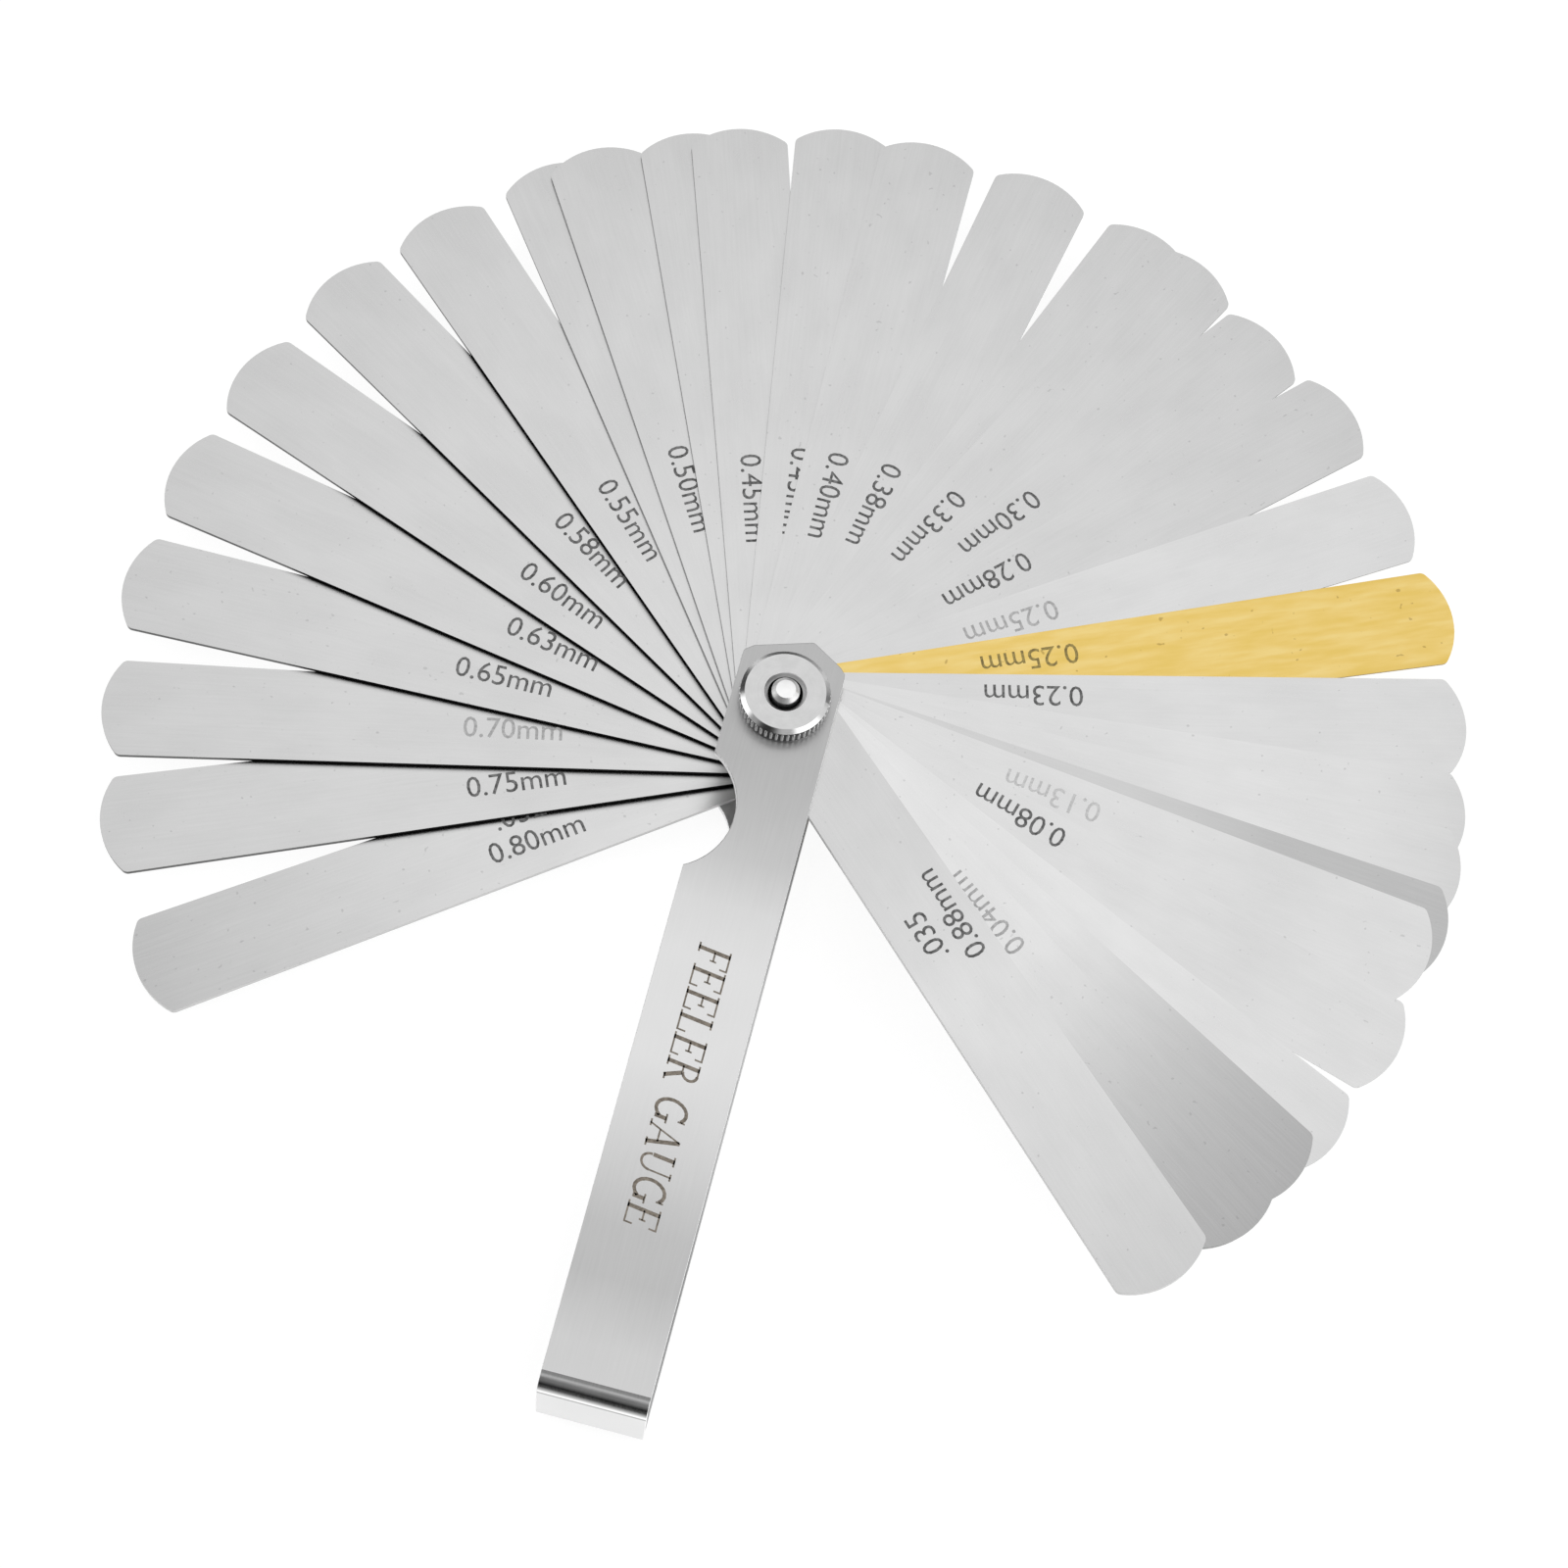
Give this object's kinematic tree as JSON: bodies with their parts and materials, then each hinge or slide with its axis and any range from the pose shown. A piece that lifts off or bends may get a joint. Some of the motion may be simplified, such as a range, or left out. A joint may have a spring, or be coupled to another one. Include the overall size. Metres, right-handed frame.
{
  "type": "feeler gauge",
  "caption": "Fan of thin straight measuring blades with rounded tips, turning on a stud in a bent steel case that they fold into, locked by a knurled thumb nut.",
  "frame": {"origin": "on the stud's axis, on the flat bottom of the stud's head", "axes": "+Z along the stud from its head to the thumb nut; the case runs along -Y; +X to the right seen from the nut's side"},
  "size_m": [0.1753, 0.1805, 0.0203],
  "materials": {
    "case_sheet": "satin bright sheet steel",
    "stud": "bright plated",
    "nut": "bright nickel plate, knurled rim",
    "blade_steel": "ground and tempered, satin, etched markings",
    "blade_brass": "rolled brass, satin, etched markings"
  },
  "bodies": {
    "case": {"case": "case_sheet", "pivot_stud": "stud"},
    "thumb_nut": {"thumb_nut": "nut"},
    "blade_0_80": {"blade_0_80": "blade_steel"},
    "blade_0_75": {"blade_0_75": "blade_steel"},
    "blade_0_70": {"blade_0_70": "blade_steel"},
    "blade_0_65": {"blade_0_65": "blade_steel"},
    "blade_0_63": {"blade_0_63": "blade_steel"},
    "blade_0_60": {"blade_0_60": "blade_steel"},
    "blade_0_58": {"blade_0_58": "blade_steel"},
    "blade_0_55": {"blade_0_55": "blade_steel"},
    "blade_0_53": {"blade_0_53": "blade_steel"},
    "blade_0_50": {"blade_0_50": "blade_steel"},
    "blade_0_48": {"blade_0_48": "blade_steel"},
    "blade_0_45": {"blade_0_45": "blade_steel"},
    "blade_0_43": {"blade_0_43": "blade_steel"},
    "blade_0_40": {"blade_0_40": "blade_steel"},
    "blade_0_38": {"blade_0_38": "blade_steel"},
    "blade_0_35": {"blade_0_35": "blade_steel"},
    "blade_0_33": {"blade_0_33": "blade_steel"},
    "blade_0_30": {"blade_0_30": "blade_steel"},
    "blade_0_28": {"blade_0_28": "blade_steel"},
    "blade_0_25": {"blade_0_25": "blade_steel"},
    "brass_blade_0_25": {"brass_blade_0_25": "blade_brass"},
    "blade_0_23": {"blade_0_23": "blade_steel"},
    "blade_0_20": {"blade_0_20": "blade_steel"},
    "blade_0_18": {"blade_0_18": "blade_steel"},
    "blade_0_15": {"blade_0_15": "blade_steel"},
    "blade_0_13": {"blade_0_13": "blade_steel"},
    "blade_0_08": {"blade_0_08": "blade_steel"},
    "blade_0_10": {"blade_0_10": "blade_steel"},
    "blade_0_06": {"blade_0_06": "blade_steel"},
    "blade_0_05": {"blade_0_05": "blade_steel"},
    "blade_0_04": {"blade_0_04": "blade_steel"},
    "blade_0_88": {"blade_0_88": "blade_steel"}
  },
  "joints": [
    {"name": "thumb_nut_turn", "type": "hinge", "parent": "case", "child": "thumb_nut", "pos_m": [0, 0, 0.01648], "axis": [0, 0, 1], "range_deg": [-20, 400]},
    {"name": "blade_0_80_swing", "type": "hinge", "parent": "case", "child": "blade_0_80", "pos_m": [0, 0, 0.00263], "axis": [0, 0, 1], "range_deg": [-306.8, 53.2]},
    {"name": "blade_0_75_swing", "type": "hinge", "parent": "case", "child": "blade_0_75", "pos_m": [0, 0, 0.00344], "axis": [0, 0, 1], "range_deg": [-293.7, 66.3]},
    {"name": "blade_0_70_swing", "type": "hinge", "parent": "case", "child": "blade_0_70", "pos_m": [0, 0, 0.00419], "axis": [0, 0, 1], "range_deg": [-283, 77]},
    {"name": "blade_0_65_swing", "type": "hinge", "parent": "case", "child": "blade_0_65", "pos_m": [0, 0, 0.0049], "axis": [0, 0, 1], "range_deg": [-271.2, 88.8]},
    {"name": "blade_0_63_swing", "type": "hinge", "parent": "case", "child": "blade_0_63", "pos_m": [0, 0, 0.00556], "axis": [0, 0, 1], "range_deg": [-260.1, 99.9]},
    {"name": "blade_0_60_swing", "type": "hinge", "parent": "case", "child": "blade_0_60", "pos_m": [0, 0, 0.00621], "axis": [0, 0, 1], "range_deg": [-248.9, 111.1]},
    {"name": "blade_0_58_swing", "type": "hinge", "parent": "case", "child": "blade_0_58", "pos_m": [0, 0, 0.00683], "axis": [0, 0, 1], "range_deg": [-237.5, 122.5]},
    {"name": "blade_0_55_swing", "type": "hinge", "parent": "case", "child": "blade_0_55", "pos_m": [0, 0, 0.00743], "axis": [0, 0, 1], "range_deg": [-226.7, 133.3]},
    {"name": "blade_0_53_swing", "type": "hinge", "parent": "case", "child": "blade_0_53", "pos_m": [0, 0, 0.008], "axis": [0, 0, 1], "range_deg": [-215.6, 144.4]},
    {"name": "blade_0_50_swing", "type": "hinge", "parent": "case", "child": "blade_0_50", "pos_m": [0, 0, 0.00854], "axis": [0, 0, 1], "range_deg": [-211.1, 148.9]},
    {"name": "blade_0_48_swing", "type": "hinge", "parent": "case", "child": "blade_0_48", "pos_m": [0, 0, 0.00906], "axis": [0, 0, 1], "range_deg": [-202.6, 157.4]},
    {"name": "blade_0_45_swing", "type": "hinge", "parent": "case", "child": "blade_0_45", "pos_m": [0, 0, 0.00955], "axis": [0, 0, 1], "range_deg": [-197.9, 162.1]},
    {"name": "blade_0_43_swing", "type": "hinge", "parent": "case", "child": "blade_0_43", "pos_m": [0, 0, 0.01002], "axis": [0, 0, 1], "range_deg": [-188.4, 171.6]},
    {"name": "blade_0_40_swing", "type": "hinge", "parent": "case", "child": "blade_0_40", "pos_m": [0, 0, 0.01047], "axis": [0, 0, 1], "range_deg": [-180.6, 179.4]},
    {"name": "blade_0_38_swing", "type": "hinge", "parent": "case", "child": "blade_0_38", "pos_m": [0, 0, 0.01089], "axis": [0, 0, 1], "range_deg": [-169.8, 190.2]},
    {"name": "blade_0_35_swing", "type": "hinge", "parent": "case", "child": "blade_0_35", "pos_m": [0, 0, 0.01128], "axis": [0, 0, 1], "range_deg": [-158.5, 201.5]},
    {"name": "blade_0_33_swing", "type": "hinge", "parent": "case", "child": "blade_0_33", "pos_m": [0, 0, 0.01166], "axis": [0, 0, 1], "range_deg": [-154, 206]},
    {"name": "blade_0_30_swing", "type": "hinge", "parent": "case", "child": "blade_0_30", "pos_m": [0, 0, 0.012], "axis": [0, 0, 1], "range_deg": [-144.6, 215.4]},
    {"name": "blade_0_28_swing", "type": "hinge", "parent": "case", "child": "blade_0_28", "pos_m": [0, 0, 0.01232], "axis": [0, 0, 1], "range_deg": [-135.3, 224.7]},
    {"name": "blade_0_25_swing", "type": "hinge", "parent": "case", "child": "blade_0_25", "pos_m": [0, 0, 0.01261], "axis": [0, 0, 1], "range_deg": [-124.6, 235.4]},
    {"name": "brass_blade_0_25_swing", "type": "hinge", "parent": "case", "child": "brass_blade_0_25", "pos_m": [0, 0, 0.0129], "axis": [0, 0, 1], "range_deg": [-114.5, 245.5]},
    {"name": "blade_0_23_swing", "type": "hinge", "parent": "case", "child": "blade_0_23", "pos_m": [0, 0, 0.01316], "axis": [0, 0, 1], "range_deg": [-104.3, 255.7]},
    {"name": "blade_0_20_swing", "type": "hinge", "parent": "case", "child": "blade_0_20", "pos_m": [0, 0, 0.01341], "axis": [0, 0, 1], "range_deg": [-95.5, 264.5]},
    {"name": "blade_0_18_swing", "type": "hinge", "parent": "case", "child": "blade_0_18", "pos_m": [0, 0, 0.01363], "axis": [0, 0, 1], "range_deg": [-90.3, 269.7]},
    {"name": "blade_0_15_swing", "type": "hinge", "parent": "case", "child": "blade_0_15", "pos_m": [0, 0, 0.01383], "axis": [0, 0, 1], "range_deg": [-84.9, 275.1]},
    {"name": "blade_0_13_swing", "type": "hinge", "parent": "case", "child": "blade_0_13", "pos_m": [0, 0, 0.014], "axis": [0, 0, 1], "range_deg": [-82.5, 277.5]},
    {"name": "blade_0_08_swing", "type": "hinge", "parent": "case", "child": "blade_0_08", "pos_m": [0, 0, 0.01413], "axis": [0, 0, 1], "range_deg": [-73.8, 286.2]},
    {"name": "blade_0_10_swing", "type": "hinge", "parent": "case", "child": "blade_0_10", "pos_m": [0, 0, 0.01425], "axis": [0, 0, 1], "range_deg": [-64.2, 295.8]},
    {"name": "blade_0_06_swing", "type": "hinge", "parent": "case", "child": "blade_0_06", "pos_m": [0, 0, 0.01436], "axis": [0, 0, 1], "range_deg": [-59.5, 300.5]},
    {"name": "blade_0_05_swing", "type": "hinge", "parent": "case", "child": "blade_0_05", "pos_m": [0, 0, 0.01444], "axis": [0, 0, 1], "range_deg": [-54, 306]},
    {"name": "blade_0_04_swing", "type": "hinge", "parent": "case", "child": "blade_0_04", "pos_m": [0, 0, 0.01452], "axis": [0, 0, 1], "range_deg": [-54.3, 305.7]},
    {"name": "blade_0_88_swing", "type": "hinge", "parent": "case", "child": "blade_0_88", "pos_m": [0, 0, 0.01501], "axis": [0, 0, 1], "range_deg": [-46.5, 313.5]}
  ]
}
